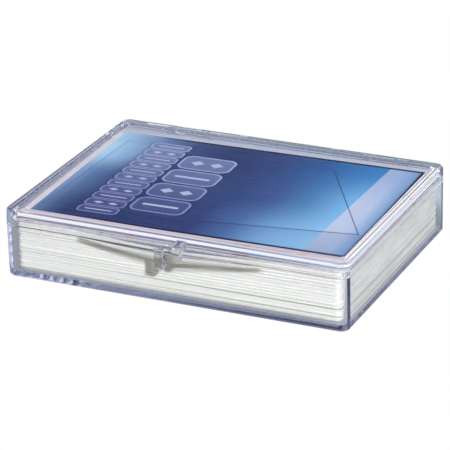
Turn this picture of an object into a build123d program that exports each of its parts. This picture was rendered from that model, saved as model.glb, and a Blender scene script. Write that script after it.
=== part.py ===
from build123d import *
import math
import os

# Hinged clear card box with its deck. Millimetres. X runs along the front, the front faces -Y,
# +Z is up. The origin is the middle of the underside.

# Box
box_width = 93.6
box_depth = 69.2
box_height = 18.6
wall = 1.5
floor_thickness = 1.5
top_thickness = 1.5
corner_radius = 2.4
edge_radius = 1.0
tray_inner_corner_radius = 1.3
lid_inner_corner_radius = 2.4
tray_inner_edge_radius = 0.5
lid_inner_edge_radius = 1.6

# Seam between tray and lid: a lip on the tray stands up inside the lid's outer half wall
seam_z = 14.15
seam_gap = 0.1
lip_height = 1.5
lip_clearance = 0.08

# Thumb lips on the front wall: V-shaped seen from above, one on the lid and one on the tray
latch_x = 0.8
flare_half_width = 26.5
flare_reach = 2.65
flare_flat_reach = 2.2
lid_flare_height = 1.5
wedge_drop = 4.2

# Pry tabs, side by side at the middle of the thumb lips
tab_width = 2.45
tab_offset = 2.45
tab_reach = 3.55
tab_clearance = 0.2
tab_round = 0.45
tray_tab_bottom = 10.2
tray_tab_top = 16.0
lid_tab_bottom = 12.7
lid_tab_top = 17.7

# Pin hinges behind the back wall
hinge_spacing = 56.8
hinge_x = 0.8
hinge_axis_behind = 1.8
hinge_axis_z = seam_z + seam_gap / 2
knuckle_radius = 1.65
barrel_length = 6.4
ear_width = 3.0
hinge_side_gap = 0.15
pin_radius = 0.9
bore_radius = 0.95
pad_thickness = 0.5
pad_height = 3.0

# Two small nubs high on the lid's back wall
nub_places = (-10.8, 15.7)
nub_width = 2.4
nub_height = 1.2
nub_reach = 0.4

# Deck
card_width = 88.9
card_depth = 63.5
card_thickness = 0.38
card_corner_radius = 1.6
card_count = 35
deck_bottom = floor_thickness + 0.02
deck_top = 15.9
deck_sag = 0.5
sag_steps = 12
card_shift_x = 0.12
card_shift_y = 0.15
card_turn = 0.12
top_card_turn = 1.35

half_depth = box_depth / 2
front_y = -half_depth
hinge_y = half_depth + hinge_axis_behind
lid_bottom = seam_z + seam_gap
card_pitch = (deck_top - card_thickness - deck_bottom) / (card_count - 1)


def rounded_block(width, depth, radius, low, high):
    """Upright block with rounded vertical corners, centred on the origin in plan."""
    return Pos(0, 0, low) * extrude(RectangleRounded(width, depth, radius), high - low)


def cavity(radius, low, high):
    """The room inside the walls, between two heights."""
    return rounded_block(box_width - 2 * wall, box_depth - 2 * wall, radius, low, high)


def lip_block(grow, low, high):
    """Block through the middle of the wall's thickness, grown or shrunk by a clearance."""
    middle = wall - 2 * grow
    return rounded_block(box_width - middle, box_depth - middle, corner_radius - middle / 2, low, high)


def front_prism(outline, low, high):
    """Extrude an outline of (x from the latch's middle, reach in front of the wall) points."""
    points = [(latch_x + x, front_y - reach) for x, reach in outline]
    return Pos(0, 0, low) * extrude(make_face(Polyline(*points, close=True)), high - low)


def flare(low, high):
    """V-shaped thumb lip with a flat at its middle, rooted inside the front wall."""
    flat_half = flare_half_width * (1 - flare_flat_reach / flare_reach)
    root = -wall / 3
    outline = [(-flare_half_width, root), (-flare_half_width, 0), (-flat_half, flare_flat_reach),
               (flat_half, flare_flat_reach), (flare_half_width, 0), (flare_half_width, root)]
    return front_prism(outline, low, high)


def wedge():
    """The tray's thumb lip: its underside slopes back to the wall along a V."""
    body = flare(seam_z - wedge_drop, seam_z)
    foot = Vector(latch_x, front_y, seam_z - wedge_drop)
    nose = Vector(latch_x, front_y - flare_reach, seam_z)
    for side in (-1, 1):
        end = Vector(latch_x + side * flare_half_width, front_y, seam_z)
        normal = (end - foot).cross(nose - foot) * -side
        body = split(body, bisect_by=Plane(origin=foot, x_dir=end - foot, z_dir=normal), keep=Keep.TOP)
    return body


def tab(side_outline, x, low, high):
    """Pry tab: a side outline of (reach, z) points, as wide as the tab, its foot rounded from the front."""
    points = [(front_y - reach, z) for reach, z in side_outline]
    slab = Pos(x - tab_width / 2, 0, 0) * extrude(
        Plane.YZ * make_face(Polyline(*points, close=True)), tab_width)
    front_shape = RectangleRounded(tab_width, high - low + tab_width, tab_width / 2 - 0.01)
    middle = (low + high + tab_width) / 2
    shield = extrude(Plane(origin=(x, 0, middle), x_dir=(1, 0, 0), z_dir=(0, -1, 0)) * front_shape,
                     box_depth)
    slab = slab & shield
    reach_limit = front_y - tab_reach
    front_edges = [edge for edge in slab.edges() if abs(edge.center().Y - reach_limit) < 0.01]
    return fillet(front_edges, tab_round)


def tray_tab():
    """The tray's tab: rises in front of the lid's thumb lip."""
    clear = flare_flat_reach + tab_clearance
    outline = [(0, tray_tab_bottom), (tab_reach - 1.0, tray_tab_bottom), (tab_reach, tray_tab_bottom + 1.0),
               (tab_reach, tray_tab_top), (clear, tray_tab_top), (clear, seam_z), (0, seam_z)]
    return tab(outline, latch_x - tab_offset, tray_tab_bottom, tray_tab_top)


def lid_tab():
    """The lid's tab: reaches down in front of the tray's thumb lip."""
    clear = flare_flat_reach + tab_clearance
    outline = [(0, lid_bottom), (clear, lid_bottom), (clear, lid_tab_bottom), (tab_reach, lid_tab_bottom),
               (tab_reach, lid_tab_top - 0.5), (0, lid_tab_top)]
    return tab(outline, latch_x + tab_offset, lid_tab_bottom, lid_tab_top)


def along_x(shape_radius, x, length):
    """Round bar on the hinge axis, centred at x."""
    plane = Plane(origin=(x - length / 2, hinge_y, hinge_axis_z), x_dir=(0, 1, 0), z_dir=(1, 0, 0))
    return extrude(plane * Circle(shape_radius), length)


def block(x, width, y_low, y_high, z_low, z_high):
    """Plain block given by its middle in X and its limits in Y and Z."""
    centre = Pos(x, (y_low + y_high) / 2, (z_low + z_high) / 2)
    return centre * Box(width, y_high - y_low, z_high - z_low)


hinge_places = [hinge_x + side * hinge_spacing / 2 for side in (-1, 1)]
ear_offset = barrel_length / 2 + hinge_side_gap + ear_width / 2
wall_root = half_depth - wall / 3


def ears(x):
    """The tray's two ears of one hinge, bored for the pin, with the webs that carry them."""
    made = []
    for side in (-1, 1):
        place = x + side * ear_offset
        ear = along_x(knuckle_radius, place, ear_width)
        ear += block(place, ear_width, wall_root, hinge_y, hinge_axis_z - knuckle_radius, seam_z)
        ear += block(place, ear_width, wall_root, half_depth + pad_thickness, seam_z - pad_height, seam_z)
        made.append(ear - along_x(bore_radius, place, ear_width + 1))
    return made


def barrel(x):
    """The lid's barrel of one hinge, with a pin stub at each end and the web that carries it."""
    pin_length = barrel_length + 2 * (hinge_side_gap + ear_width) - hinge_side_gap
    shape = along_x(knuckle_radius, x, barrel_length) + along_x(pin_radius, x, pin_length)
    shape += block(x, barrel_length, wall_root, hinge_y, lid_bottom, hinge_axis_z + knuckle_radius)
    shape += block(x, barrel_length, wall_root, half_depth + pad_thickness, lid_bottom,
                   lid_bottom + pad_height)
    return shape


def base_tray():
    """Floor, walls, lip, thumb lip with its wedge, tab and hinge ears."""
    shell = rounded_block(box_width, box_depth, corner_radius, 0, seam_z)
    shell = fillet(shell.edges().group_by(Axis.Z)[0], edge_radius)
    shell += lip_block(-lip_clearance / 2, seam_z - wall, seam_z + lip_height)
    room = cavity(tray_inner_corner_radius, floor_thickness, box_height)
    shell -= fillet(room.edges().group_by(Axis.Z)[0], tray_inner_edge_radius)
    shell += wedge() + tray_tab()
    for x in hinge_places:
        for ear in ears(x):
            shell += ear
    return shell


def lid():
    """Top plate, short walls over the tray's lip, thumb lip, tab, hinge barrels and nubs."""
    shell = rounded_block(box_width, box_depth, corner_radius, lid_bottom, box_height)
    shell = fillet(shell.edges().group_by(Axis.Z)[-1], edge_radius)
    room = cavity(lid_inner_corner_radius, 0, box_height - top_thickness)
    shell -= fillet(room.edges().group_by(Axis.Z)[-1], lid_inner_edge_radius)
    shell -= lip_block(lip_clearance / 2, 0, seam_z + lip_height + seam_gap)
    shell += flare(lid_bottom, lid_bottom + lid_flare_height) - lip_block(lip_clearance / 2, 0, box_height)
    shell += lid_tab()
    for x in hinge_places:
        shell += barrel(x)
    for x in nub_places:
        nub_low = box_height - edge_radius - nub_height
        shell += block(x, nub_width, wall_root, half_depth + nub_reach, nub_low, nub_low + nub_height)
    return shell


def sagging_strip(sag):
    """A sheet as long as a card and lower at its middle, following a parabola in flat steps."""
    places = [card_width * (step / sag_steps - 0.5) for step in range(sag_steps + 1)]
    low = [(x, -sag * (1 - (2 * x / card_width) ** 2)) for x in places]
    high = [(x, z + card_thickness) for x, z in reversed(low)]
    profile = make_face(Polyline(*low, *high, close=True))
    return extrude(Plane.XZ * profile, card_depth / 2 + 1, both=True)


def card(number):
    """One card: a thin rounded sheet, a little out of square, sagging more the higher it lies."""
    level = number - 1
    is_top = number == card_count
    sag = 0 if is_top else deck_sag * (level / card_count) ** 2
    turn = top_card_turn if is_top else card_turn * math.sin(2.4 * number)
    shift_x = 0 if is_top else card_shift_x * math.sin(1.7 * number + 0.6)
    shift_y = 0 if is_top else card_shift_y * math.cos(2.9 * number)
    outline = RectangleRounded(card_width, card_depth, card_corner_radius)
    sheet = extrude(outline, card_thickness)
    if sag > 0.02:
        sheet = sagging_strip(sag) & Pos(0, 0, -1) * extrude(outline, 2)
    return Pos(shift_x, shift_y, deck_bottom + level * card_pitch) * Rot(0, 0, turn) * sheet


os.makedirs("parts", exist_ok=True)
export_step(base_tray(), "parts/base_tray.step")
export_step(lid(), "parts/lid.step")
for number in range(1, card_count + 1):
    export_step(card(number), f"parts/card_{number:02d}.step")
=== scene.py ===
import math

import bpy
from mathutils import Matrix, Vector

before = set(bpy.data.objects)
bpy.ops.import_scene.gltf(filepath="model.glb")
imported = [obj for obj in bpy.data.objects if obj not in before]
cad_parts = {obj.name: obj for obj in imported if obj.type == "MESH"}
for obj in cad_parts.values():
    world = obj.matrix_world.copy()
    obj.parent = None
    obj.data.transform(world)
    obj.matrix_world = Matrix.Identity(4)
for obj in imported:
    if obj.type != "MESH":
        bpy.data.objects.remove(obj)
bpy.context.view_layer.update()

CARD_NODES = sorted(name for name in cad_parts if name.startswith("card_"))
TOP_CARD = CARD_NODES[-1]

# Sizes of the box and its deck, in millimetres and degrees, as in part.py
BOX_DEPTH = 69.2
LATCH_X = 0.8
LIP_HALF_WIDTH = 26.5
LIP_REACH = 2.65
DECK_BOTTOM = 1.52
CARD_PITCH = 14.0 / 34
TOP_CARD_TURN = 1.35

# Light that goes along the thin walls bounces many times before it leaves them
BOUNCES = 160
FLOOR_REACH = 4.0
FLOOR_LEVEL = -0.0001
CREASE_ANGLE = 28
WHITE = (1, 1, 1, 1)


# Node helpers

class Nodes:
    """A material's node tree, with short ways to add maths and to link."""

    def __init__(self, tree, output_kind="OutputMaterial"):
        self.tree = tree
        self.tree.nodes.clear()
        self.output = self.new(output_kind)

    def new(self, kind, **settings):
        node = self.tree.nodes.new("ShaderNode" + kind)
        for key, value in settings.items():
            setattr(node, key, value)
        return node

    def link(self, source, target):
        self.tree.links.new(source, target)

    def feed(self, socket, value):
        """Set a socket to a number or colour, or link it to another socket."""
        if isinstance(value, bpy.types.NodeSocket):
            self.link(value, socket)
        else:
            socket.default_value = value

    def math(self, operation, *values, clamp=False):
        node = self.new("Math", operation=operation, use_clamp=clamp)
        for socket, value in zip(node.inputs, values):
            self.feed(socket, value)
        return node.outputs[0]

    def mix(self, factor, first, second, blend="MIX"):
        node = self.new("Mix", data_type="RGBA", blend_type=blend)
        self.feed(node.inputs["Factor"], factor)
        self.feed(node.inputs[6], first)
        self.feed(node.inputs[7], second)
        return node.outputs[2]

    def smooth(self, value, start, end, low=0.0, high=1.0):
        """Smooth step of a value from start to end, giving low to high."""
        node = self.new("MapRange", interpolation_type="SMOOTHSTEP")
        for socket, number in zip(node.inputs, (value, start, end, low, high)):
            self.feed(socket, number)
        return node.outputs[0]

    def ramp(self, value, start, end, *stops):
        """Colour ramp with its stops' places given in the value's own units."""
        share = self.math("DIVIDE", self.math("SUBTRACT", value, start), end - start, clamp=True)
        node = self.new("ValToRGB")
        elements = node.color_ramp.elements
        while len(elements) < len(stops):
            elements.new(1.0)
        for element, (place, shade) in zip(elements, stops):
            element.position = (place - start) / (end - start)
            element.color = colour(*shade)
        self.link(share, node.inputs[0])
        return node.outputs[0]

    def noise(self, vector, scale, detail=2.0, roughness=0.5):
        node = self.new("TexNoise")
        self.link(vector, node.inputs["Vector"])
        node.inputs["Scale"].default_value = scale
        node.inputs["Detail"].default_value = detail
        node.inputs["Roughness"].default_value = roughness
        return node.outputs[0]

    def millimetres(self, turn=0.0):
        """Object coordinates in millimetres, turned about Z by some degrees."""
        coordinates = self.new("TexCoord")
        mapping = self.new("Mapping", vector_type="POINT")
        mapping.inputs["Rotation"].default_value = (0, 0, math.radians(turn))
        mapping.inputs["Scale"].default_value = (1000, 1000, 1000)
        self.link(coordinates.outputs["Object"], mapping.inputs["Vector"])
        return mapping.outputs[0]

    def stretched(self, vector, x, y, z):
        mapping = self.new("Mapping", vector_type="POINT")
        mapping.inputs["Scale"].default_value = (x, y, z)
        self.link(vector, mapping.inputs["Vector"])
        return mapping.outputs[0]

    def split(self, vector):
        node = self.new("SeparateXYZ")
        self.link(vector, node.inputs[0])
        return node.outputs[0], node.outputs[1], node.outputs[2]

    def product(self, *values):
        """All the values multiplied together."""
        result = values[0]
        for value in values[1:]:
            result = self.math("MULTIPLY", result, value)
        return result

    def dot(self, parts, direction):
        """How far a vector's parts go along a direction."""
        terms = [self.math("MULTIPLY", part, share) for part, share in zip(parts, direction)]
        result = terms[0]
        for term in terms[1:]:
            result = self.math("ADD", result, term)
        return result

    def between(self, value, low, high):
        """1 between two bounds, 0 outside them."""
        return self.math("MULTIPLY", self.math("GREATER_THAN", value, low),
                         self.math("LESS_THAN", value, high))

    def off_middle(self, value, middle):
        """Distance of a value from a middle, on either side."""
        return self.math("ABSOLUTE", self.math("SUBTRACT", value, middle))

    def bump(self, height, strength, distance):
        node = self.new("Bump")
        node.inputs["Strength"].default_value = strength
        node.inputs["Distance"].default_value = distance
        self.link(height, node.inputs["Height"])
        return node.outputs[0]

    def rounded_box(self, u, v, half_u, half_v, radius):
        """Distance outside a rounded rectangle's edge, negative inside."""
        over_u = self.math("SUBTRACT", self.math("ABSOLUTE", u), half_u - radius)
        over_v = self.math("SUBTRACT", self.math("ABSOLUTE", v), half_v - radius)
        out_u, out_v = self.math("MAXIMUM", over_u, 0), self.math("MAXIMUM", over_v, 0)
        corner = self.math("SQRT", self.math("ADD", self.math("MULTIPLY", out_u, out_u),
                                             self.math("MULTIPLY", out_v, out_v)))
        depth = self.math("MINIMUM", self.math("MAXIMUM", over_u, over_v), 0)
        return self.math("SUBTRACT", self.math("ADD", corner, depth), radius)

    def diamond(self, u, v, half_u, half_v):
        """Below 1 inside a diamond."""
        return self.math("ADD", self.math("DIVIDE", self.math("ABSOLUTE", u), half_u),
                         self.math("DIVIDE", self.math("ABSOLUTE", v), half_v))

    def stroke(self, u, v, start, end, width):
        """1 on a straight line between two points, 0 away from it."""
        length = math.hypot(end[0] - start[0], end[1] - start[1])
        along_u, along_v = (end[0] - start[0]) / length, (end[1] - start[1]) / length
        near_u, near_v = self.math("SUBTRACT", u, start[0]), self.math("SUBTRACT", v, start[1])
        along = self.dot((near_u, near_v), (along_u, along_v))
        across = self.math("ABSOLUTE", self.math("SUBTRACT", self.math("MULTIPLY", near_u, along_v),
                                                 self.math("MULTIPLY", near_v, along_u)))
        beyond = self.math("SUBTRACT", self.off_middle(along, length / 2), length / 2)
        distance = self.math("MAXIMUM", across, beyond)
        return self.smooth(distance, width * 0.3, width * 0.7, 1.0, 0.0)


def colour(red, green, blue):
    """sRGB 0-255 to the linear colour that a shader takes."""
    def linear(level):
        level /= 255
        return level / 12.92 if level <= 0.04045 else ((level + 0.055) / 1.055) ** 2.4
    return (linear(red), linear(green), linear(blue), 1.0)


def new_material(name):
    material = bpy.data.materials.new(name)
    material.use_nodes = True
    return material


# Materials

def under_lips(n, place, passed):
    """Light that falls through the V-shaped thumb lips is dimmer, most of all along their edge."""
    x, y, _ = n.split(place)
    reach = n.math("SUBTRACT", n.math("MULTIPLY", y, -1), BOX_DEPTH / 2)
    lip_edge = n.math("SUBTRACT", LIP_REACH,
                      n.math("MULTIPLY", n.off_middle(x, LATCH_X), LIP_REACH / LIP_HALF_WIDTH))
    from_edge = n.math("SUBTRACT", reach, lip_edge)
    dimmed = n.mix(n.smooth(from_edge, -0.9, -0.5), colour(206, 206, 196), colour(138, 136, 118))
    return n.mix(n.smooth(reach, 0.05, 0.25), passed, dimmed)


def clear_plastic():
    """Crystal polystyrene with a little blue toner: clear across a wall, violet-blue along it."""
    material = new_material("clear_plastic")
    n = Nodes(material.node_tree)
    place = n.millimetres()
    surface = n.new("BsdfPrincipled")
    haze = n.noise(place, 0.35, 5.0, 0.65)
    scuffs = n.noise(n.stretched(place, 0.25, 3.0, 3.0), 1.0, 4.0, 0.7)
    n.link(n.mix(n.smooth(haze, 0.35, 0.7), colour(254, 254, 255), colour(250, 250, 254)),
           surface.inputs["Base Color"])
    n.link(n.smooth(scuffs, 0.5, 0.8, 0.015, 0.05), surface.inputs["Roughness"])
    surface.inputs["IOR"].default_value = 1.57
    surface.inputs["Transmission Weight"].default_value = 1.0
    n.link(n.bump(n.noise(place, 0.12, 1.0, 0.4), 0.05, 0.00008), surface.inputs["Normal"])
    clear = n.new("BsdfTransparent")
    slant = n.new("LayerWeight")
    slant.inputs["Blend"].default_value = 0.5
    passed = n.mix(n.smooth(slant.outputs["Facing"], 0.5, 0.95), colour(252, 252, 252),
                   colour(160, 160, 156))
    n.link(under_lips(n, place, passed), clear.inputs["Color"])
    light_path = n.new("LightPath")
    shader = surface.outputs[0]
    for ray in ("Is Diffuse Ray", "Is Shadow Ray"):
        passes = n.new("MixShader")
        n.link(light_path.outputs[ray], passes.inputs[0])
        n.link(shader, passes.inputs[1])
        n.link(clear.outputs[0], passes.inputs[2])
        shader = passes.outputs[0]
    n.link(shader, n.output.inputs["Surface"])
    toner = n.new("VolumeAbsorption")
    toner.inputs["Color"].default_value = (0.39, 0.43, 0.64, 1)
    toner.inputs["Density"].default_value = 16.0
    n.link(toner.outputs[0], n.output.inputs["Volume"])
    return material


def ink_specks(n, place, shade, weight):
    """Small smears of red, brown and green where a print's colour reaches a card's cut edge."""
    specks = n.smooth(n.noise(n.stretched(place, 0.3, 0.3, 2.0), 1.0, 2.0, 0.6), 0.53, 0.62)
    ink = n.ramp(n.noise(place, 0.2), 0, 1, (0.38, (150, 160, 110)), (0.46, (216, 152, 142)),
                 (0.54, (228, 176, 162)), (0.6, (120, 92, 78)))
    return n.mix(n.math("MULTIPLY", weight, specks), shade, ink)


def per_card(n, number, offset):
    """A random value from 0 to 1 that is the same all over one card."""
    node = n.new("TexWhiteNoise", noise_dimensions="1D")
    n.link(n.math("ADD", number, offset), node.inputs["W"])
    return node.outputs["Value"]


def card_stock():
    """White card: each one a little different at its cut edges, two of them partly green, with painted
    shade between cards, on the right end, on the lowest cards and along the top.
    """
    material = new_material("card_stock")
    n = Nodes(material.node_tree)
    place = n.millimetres()
    x, _, z = n.split(place)
    level = n.math("DIVIDE", n.math("SUBTRACT", z, DECK_BOTTOM), CARD_PITCH)
    number = n.math("FLOOR", level)
    within = n.math("FRACT", level)
    shade = n.mix(per_card(n, number, 0.0), colour(247, 248, 244), colour(252, 252, 249))
    shade = n.mix(n.smooth(per_card(n, number, 0.37), 0.7, 1.0, 0.0, 0.2), shade, colour(214, 218, 204))
    for coloured, weight in ((3, 0.6), (8, 0.8)):
        this_card = n.math("MULTIPLY", n.math("COMPARE", number, coloured, 0.25),
                           n.smooth(x, -40, 25, 0.15 * weight, weight))
        shade = n.mix(this_card, shade, colour(138, 150, 96))
    rim = n.off_middle(within, 0.46)
    fibres = n.noise(n.stretched(place, 0.6, 0.6, 9.0), 1.0, 4.0, 0.7)
    # Painted shade: each card's cut edge a little darker near its top and bottom, where the gaps between
    # cards are shaded.
    shade = n.mix(n.smooth(rim, 0.25, 0.46, 0.0, 0.2), shade, colour(206, 209, 202))
    shade = n.mix(n.smooth(fibres, 0.3, 0.75, 0.0, 0.16), shade, colour(205, 208, 200))
    # Painted shade: the deck's right end greyer and streaky, because less light falls on that side.
    end = n.smooth(x, 43.6, 44.2)
    streaky_end_shade = n.smooth(n.noise(n.stretched(place, 1.0, 0.1, 2.6), 1.0, 3.0, 0.6), 0.42, 0.62, 0.05, 0.5)
    shade = n.mix(n.math("MULTIPLY", streaky_end_shade, end), shade, colour(176, 184, 178))
    # Painted shade on the two lowest cards, at the foot of the deck.
    shade = n.mix(n.smooth(z, 1.75, 2.1, 0.85, 0.0), shade, colour(132, 140, 150))
    # Painted shade along the top of the deck's cut edges, where they are seen under the lid's rim.
    shade = n.mix(n.smooth(z, 14.5, 15.2, 0.0, 0.75), shade, colour(192, 188, 198))
    shade = ink_specks(n, place, shade, n.smooth(z, 14.4, 14.9))

    surface = n.new("BsdfPrincipled")
    n.link(shade, surface.inputs["Base Color"])
    n.link(n.smooth(fibres, 0.3, 0.8, 0.5, 0.75), surface.inputs["Roughness"])
    n.link(n.bump(fibres, 0.15, 0.00004), surface.inputs["Normal"])
    n.link(surface.outputs[0], n.output.inputs["Surface"])
    return material


def art_ground(n, u, v):
    """The print's blue field: light on the left, navy in the middle, sky blue low on the right."""
    front = n.ramp(u, -42, 34, (-42, (96, 128, 166)), (-38, (60, 84, 128)), (-34, (36, 50, 96)),
                   (-14, (40, 54, 102)), (0, (46, 60, 114)), (10, (82, 118, 176)), (20, (136, 190, 236)),
                   (32, (158, 210, 252)))
    middle = n.ramp(u, -42, 34, (-42, (132, 166, 206)), (-38, (92, 124, 170)), (-31, (54, 74, 122)),
                    (-15, (40, 56, 102)), (2, (48, 68, 120)), (13, (58, 88, 146)), (22, (80, 134, 188)),
                    (32, (126, 192, 242)))
    back = n.ramp(u, -42, 34, (-42, (184, 228, 255)), (-37, (158, 196, 234)), (-29, (108, 136, 180)),
                  (-20, (54, 74, 122)), (-8, (42, 54, 98)), (6, (48, 70, 122)), (18, (46, 98, 160)),
                  (33, (54, 134, 200)))
    shade = n.mix(n.smooth(v, -27, 2), front, middle)
    shade = n.mix(n.smooth(v, 0, n.smooth(u, -36, -26, 15, 27)), shade, back)
    return shade


def art_band(n, u, v, shade):
    """A pale band beside the right edge, behind a slightly slanted line."""
    pale = n.ramp(u, 31, 44, (31, (206, 218, 242)), (38, (196, 211, 240)), (41, (150, 182, 224)),
                  (43.4, (104, 140, 186)))
    dusk = n.smooth(n.off_middle(v, -4), 4, 32, 0.0, 0.55)
    pale = n.mix(dusk, pale, colour(128, 166, 214))
    edge = n.math("SUBTRACT", u, n.math("ADD", n.math("MULTIPLY", v, 0.042), 32.9))
    return n.mix(n.smooth(edge, -0.12, 0.12), shade, pale)


def art_panel(n, u, v, shade):
    """Thin lines of a large slanted panel, with the field a little darker outside it."""
    lower = n.math("SUBTRACT", v, n.math("ADD", n.math("MULTIPLY", u, 0.135), -20.3))
    outside = n.math("MULTIPLY", n.smooth(lower, -0.2, 0.2, 0.16, 0.0), n.smooth(u, -36, -20))
    shade = n.mix(outside, shade, colour(30, 42, 88))
    upper = n.math("SUBTRACT", v, 22.3)
    outside = n.math("MULTIPLY", n.smooth(upper, -0.4, 0.4, 0.0, 0.12),
                     n.smooth(u, 19.0, 21.5, 1.0, 0.0))
    shade = n.mix(outside, shade, colour(36, 60, 120))
    lines = (((20.8, 22.2), (41.2, -14.8), 0.36, 0.7), ((41.0, -14.7), (-22.0, -23.4), 0.55, 0.7),
             ((-6.0, 22.3), (20.8, 22.3), 0.4, 0.3), ((-39.2, 24.0), (-41.4, -25.0), 0.4, 0.35))
    for start, end, width, weight in lines:
        mark = n.math("MULTIPLY", n.stroke(u, v, start, end, width), weight)
        shade = n.mix(mark, shade, colour(34, 52, 92))
    return shade


def art_blocks(n, u, v, shade, centre, half_u, half_v, radius, first, pitch, count, outline):
    """A column of outlined rounded blocks with a bar and diamonds in each, side by side along v."""
    across = n.math("SUBTRACT", u, centre)
    cell = n.math("DIVIDE", n.math("SUBTRACT", v, first), pitch)
    along = n.math("MULTIPLY", n.math("SUBTRACT", n.math("FRACT", cell), 0.5), pitch)
    inside = n.between(cell, 0.0, count)
    distance = n.rounded_box(across, along, half_u, half_v, radius)
    light = n.smooth(v, -22, 26)
    fill = n.mix(light, colour(76, 88, 138), colour(128, 146, 192))
    line = n.mix(light, colour(146, 152, 204), colour(184, 194, 230))
    shade = n.mix(n.math("MULTIPLY", n.smooth(distance, 0.1, 1.3, 0.35, 0.0), inside), shade,
                  colour(24, 32, 74))
    shade = n.mix(n.math("MULTIPLY", n.smooth(distance, -0.08, 0.08, 0.8, 0.0), inside), shade, fill)
    rim = n.math("ABSOLUTE", n.math("ADD", distance, outline / 2))
    shade = n.mix(n.math("MULTIPLY", n.smooth(rim, outline * 0.3, outline * 0.7, 0.9, 0.0), inside),
                  shade, line)
    odd = n.math("GREATER_THAN", n.math("FRACT", n.math("MULTIPLY", cell, 0.5)), 0.5)
    bar = n.rounded_box(across, along, half_u * 0.66, half_v * 0.12, half_v * 0.1)
    bar = n.smooth(bar, -0.06, 0.1, 1.0, 0.0)
    offset = n.math("SUBTRACT", n.math("ABSOLUTE", across), half_u * 0.36)
    diamonds = n.smooth(n.diamond(offset, along, half_u * 0.26, half_v * 0.36), 0.85, 1.1, 1.0, 0.0)
    marks = n.math("ADD", n.math("MULTIPLY", bar, n.math("SUBTRACT", 1.0, odd)),
                   n.math("MULTIPLY", diamonds, odd))
    return n.mix(n.product(marks, inside, 0.85), shade, colour(206, 210, 240))


def printed_card():
    """The top card: a plain blue print with generic ornament, a dark keyline and a pale border, with
    painted shade at its front, back and cut edges.
    """
    material = new_material("printed_card")
    n = Nodes(material.node_tree)
    place = n.millimetres(-TOP_CARD_TURN)
    u, v, _ = n.split(place)
    shade = art_ground(n, u, v)
    shade = art_band(n, u, v, shade)
    shade = art_panel(n, u, v, shade)
    streaks = n.noise(n.stretched(place, 0.07, 1.1, 1.0), 1.0, 4.0, 0.6)
    shade = n.mix(n.smooth(streaks, 0.35, 0.72, 0.0, 0.07), shade, colour(150, 176, 222))
    shade = art_blocks(n, u, v, shade, -12.3, 7.5, 4.55, 2.6, -19.8, 9.95, 4, 0.6)
    shade = art_blocks(n, u, v, shade, -26.3, 5.6, 2.1, 1.3, -24.6, 4.55, 11, 0.42)

    edge = n.rounded_box(n.math("SUBTRACT", u, 0.45), n.math("SUBTRACT", v, 0.3), 43.1, 29.2, 0.3)
    right_part = n.smooth(u, -34, -20)
    for start, end, weight, ink in ((-1.8, -0.3, 0.5, (40, 48, 90)), (-1.05, -0.8, 0.97, (10, 12, 30))):
        keyline = n.math("MULTIPLY", n.smooth(edge, start, end, 0.0, weight), right_part)
        shade = n.mix(keyline, shade, colour(*ink))
    border = n.mix(n.smooth(n.noise(place, 0.4, 3.0), 0.3, 0.7), colour(224, 217, 226),
                   colour(234, 228, 235))
    # Painted shade: the border bluish-grey towards the back and greyer towards the front.
    border = n.mix(n.smooth(v, 27, 31), border, colour(196, 203, 216))
    border = n.mix(n.smooth(v, -29.5, -28.5, 1.0, 0.0), border, colour(200, 190, 203))
    shade = n.mix(n.smooth(edge, -0.1, 0.1), shade, border)

    coordinates = n.new("TexCoord")
    upward = n.split(coordinates.outputs["Normal"])[2]
    # Painted shade: the top card's cut edges greyer than its white face, with ink specks.
    shaded_cut_edge = ink_specks(n, place, colour(202, 198, 206), 1.0)
    shade = n.mix(n.math("GREATER_THAN", upward, 0.5), shaded_cut_edge, shade)

    surface = n.new("BsdfPrincipled")
    n.link(shade, surface.inputs["Base Color"])
    surface.inputs["Specular IOR Level"].default_value = 0.05
    grain = n.noise(place, 6.0, 3.0)
    n.link(n.smooth(grain, 0.3, 0.7, 0.3, 0.42), surface.inputs["Roughness"])
    n.link(n.bump(grain, 0.08, 0.00002), surface.inputs["Normal"])
    n.link(surface.outputs[0], n.output.inputs["Surface"])
    return material


def pale_floor():
    """White to the eye. Light that the plastic reflects or bends sees a grey table instead: paler on the
    right, farther behind and beside the box, with a painted shadow close behind it and a painted glow
    behind it on the left."""
    material = new_material("pale_floor")
    n = Nodes(material.node_tree)
    x, y, _ = n.split(n.millimetres())
    tone = n.mix(n.smooth(x, 30, 50), colour(156, 161, 170), colour(186, 190, 198))
    # Painted shadow of the box on the table close behind it, and a painted glow in one small place behind
    # its left part.
    gleam = n.math("MULTIPLY", n.smooth(x, -32, -8, 1.0, 0.0), n.smooth(y, 38, 46, 1.0, 0.0))
    box_shadow_and_gleam = n.mix(gleam, colour(118, 134, 142), (2.6, 2.55, 2.5, 1))
    behind = n.mix(n.smooth(y, 44, 58), box_shadow_and_gleam, colour(198, 222, 238))
    back_part = n.math("MULTIPLY", n.smooth(y, 33, 35), n.smooth(x, 47, 52, 1.0, 0.0))
    tone = n.mix(back_part, tone, behind)
    beside = n.math("MULTIPLY", n.smooth(x, -51, -46, 1.0, 0.0), n.smooth(y, -5, 10))
    tone = n.mix(beside, tone, colour(214, 220, 232))
    light_path = n.new("LightPath")
    tone = n.mix(light_path.outputs["Is Diffuse Ray"], tone, colour(172, 174, 172))
    tone = n.mix(light_path.outputs["Is Camera Ray"], tone, WHITE)
    table = n.new("Emission")
    n.link(tone, table.inputs["Color"])
    n.link(table.outputs[0], n.output.inputs["Surface"])
    return material


def dress(node, material):
    """Give a CAD node its one material, smooth over its rounded edges and sharp at the others."""
    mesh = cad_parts[node].data
    mesh.materials.clear()
    mesh.materials.append(material)
    mesh.shade_smooth()
    mesh.set_sharp_from_angle(angle=math.radians(CREASE_ANGLE))


# Camera, light and floor

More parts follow.
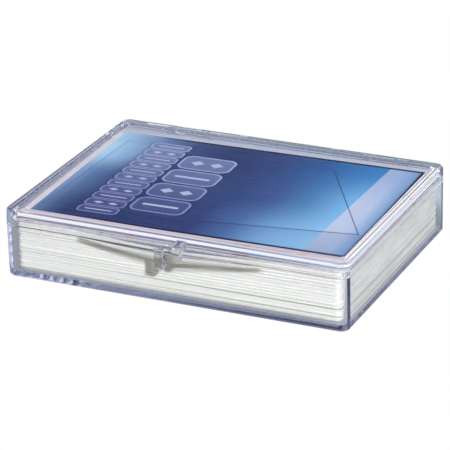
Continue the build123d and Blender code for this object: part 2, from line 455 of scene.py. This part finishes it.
def make_camera():
    """A long lens, above the box and to the right of its front, rolled a little."""
    data = bpy.data.cameras.new("camera")
    data.sensor_width = 36.0
    data.lens = 207.53
    data.clip_start, data.clip_end = 0.01, 20
    camera = bpy.data.objects.new("camera", data)
    azimuth, elevation, roll = (math.radians(a) for a in (24.9658, 23.1853, -1.3651))
    back = Vector((math.sin(azimuth) * math.cos(elevation), -math.cos(azimuth) * math.cos(elevation),
                   math.sin(elevation)))
    right = (-back).cross(Vector((0, 0, 1))).normalized()
    up = right.cross(-back)
    right_rolled = right * math.cos(roll) + up * math.sin(roll)
    up_rolled = up * math.cos(roll) - right * math.sin(roll)
    axes = Matrix((right_rolled, up_rolled, back)).transposed()
    camera.matrix_world = Matrix.Translation((0.259119, -0.558815, 0.271375)) @ axes.to_4x4()
    bpy.context.scene.collection.objects.link(camera)
    bpy.context.scene.camera = camera


def make_floor():
    """A wide flat floor, a hair below the box's underside."""
    mesh = bpy.data.meshes.new("floor")
    corners = [(-FLOOR_REACH, -FLOOR_REACH), (FLOOR_REACH, -FLOOR_REACH), (FLOOR_REACH, FLOOR_REACH),
               (-FLOOR_REACH, FLOOR_REACH)]
    mesh.from_pydata([(x, y, FLOOR_LEVEL) for x, y in corners], [], [(0, 1, 2, 3)])
    floor = bpy.data.objects.new("floor", mesh)
    bpy.context.scene.collection.objects.link(floor)
    mesh.materials.append(pale_floor())


def area_light(name, place, size, power, tint=(1, 1, 1), mirrored=True):
    """A round lamp aimed at the box. One that isn't mirrored lights things without being seen in them."""
    data = bpy.data.lights.new(name, "AREA")
    data.shape = "DISK"
    data.size = size
    data.energy = power
    data.color = tint
    light = bpy.data.objects.new(name, data)
    light.location = place
    light.visible_glossy = light.visible_transmission = mirrored
    light.rotation_euler = (-Vector(place)).to_track_quat("-Z", "Y").to_euler()
    bpy.context.scene.collection.objects.link(light)


def make_world():
    """White to the eye. Other rays see a bright room: dimmer in front, with a dark round screen behind on
    the left, a dark band low behind it, a window along the back and a lamp on the front right."""
    world = bpy.data.worlds.new("world")
    bpy.context.scene.world = world
    world.use_nodes = True
    n = Nodes(world.node_tree, "OutputWorld")
    coordinates = n.new("TexCoord")
    x, y, z = sky = n.split(coordinates.outputs["Generated"])
    room = n.ramp(z, -1.0, 1.0, (-0.3, (216, 218, 232)), (0.1, (222, 224, 236)), (0.4, (240, 241, 246)),
                  (0.8, (255, 255, 255)))
    room = n.mix(n.smooth(y, -0.1, -0.5), room, (0.55, 0.55, 0.55, 1))
    screen = n.smooth(n.dot(sky, (-0.388, 0.834, 0.393)), 0.92, 0.97)
    room = n.mix(screen, room, colour(54, 58, 92))
    low_band = n.math("MULTIPLY", n.smooth(n.dot((x, y), (-0.422, 0.907)), 0.84, 0.94),
                      n.smooth(z, 0.2, 0.4, 1.0, 0.0))
    room = n.mix(low_band, room, colour(136, 142, 176))
    window = n.smooth(n.dot((x, y), (0.42, 0.9)), 0.8, 0.92)
    room = n.mix(window, room, (1.6, 1.58, 1.6, 1))
    lamp = n.smooth(n.dot(sky, (0.534, -0.644, 0.547)), 0.975, 0.99)
    room = n.mix(lamp, room, (7.0, 7.0, 6.9, 1))
    light_path = n.new("LightPath")
    seen = n.mix(light_path.outputs["Is Diffuse Ray"], room, (0.25, 0.25, 0.26, 1))
    seen = n.mix(light_path.outputs["Is Camera Ray"], seen, WHITE)
    background = n.new("Background")
    n.link(seen, background.inputs["Color"])
    n.link(background.outputs[0], n.output.inputs["Surface"])
    world.cycles.sampling_method = "NONE"


make_camera()
make_floor()
make_world()
area_light("top", (-0.05, 0.05, 0.9), size=0.4, power=3.6, mirrored=False)
area_light("key", (0.80, -0.96, 0.82), size=0.10, power=26.0, tint=(1.0, 0.995, 0.98))

plastic = clear_plastic()
dress("base_tray", plastic)
dress("lid", plastic)
stock = card_stock()
for name in CARD_NODES[:-1]:
    dress(name, stock)
dress(TOP_CARD, printed_card())

scene = bpy.context.scene
scene.view_settings.view_transform = "Standard"
scene.cycles.caustics_refractive = False
scene.cycles.caustics_reflective = False
scene.cycles.max_bounces = BOUNCES
scene.cycles.transmission_bounces = BOUNCES
scene.cycles.glossy_bounces = BOUNCES
scene.cycles.transparent_max_bounces = 64
scene.cycles.use_denoising = True
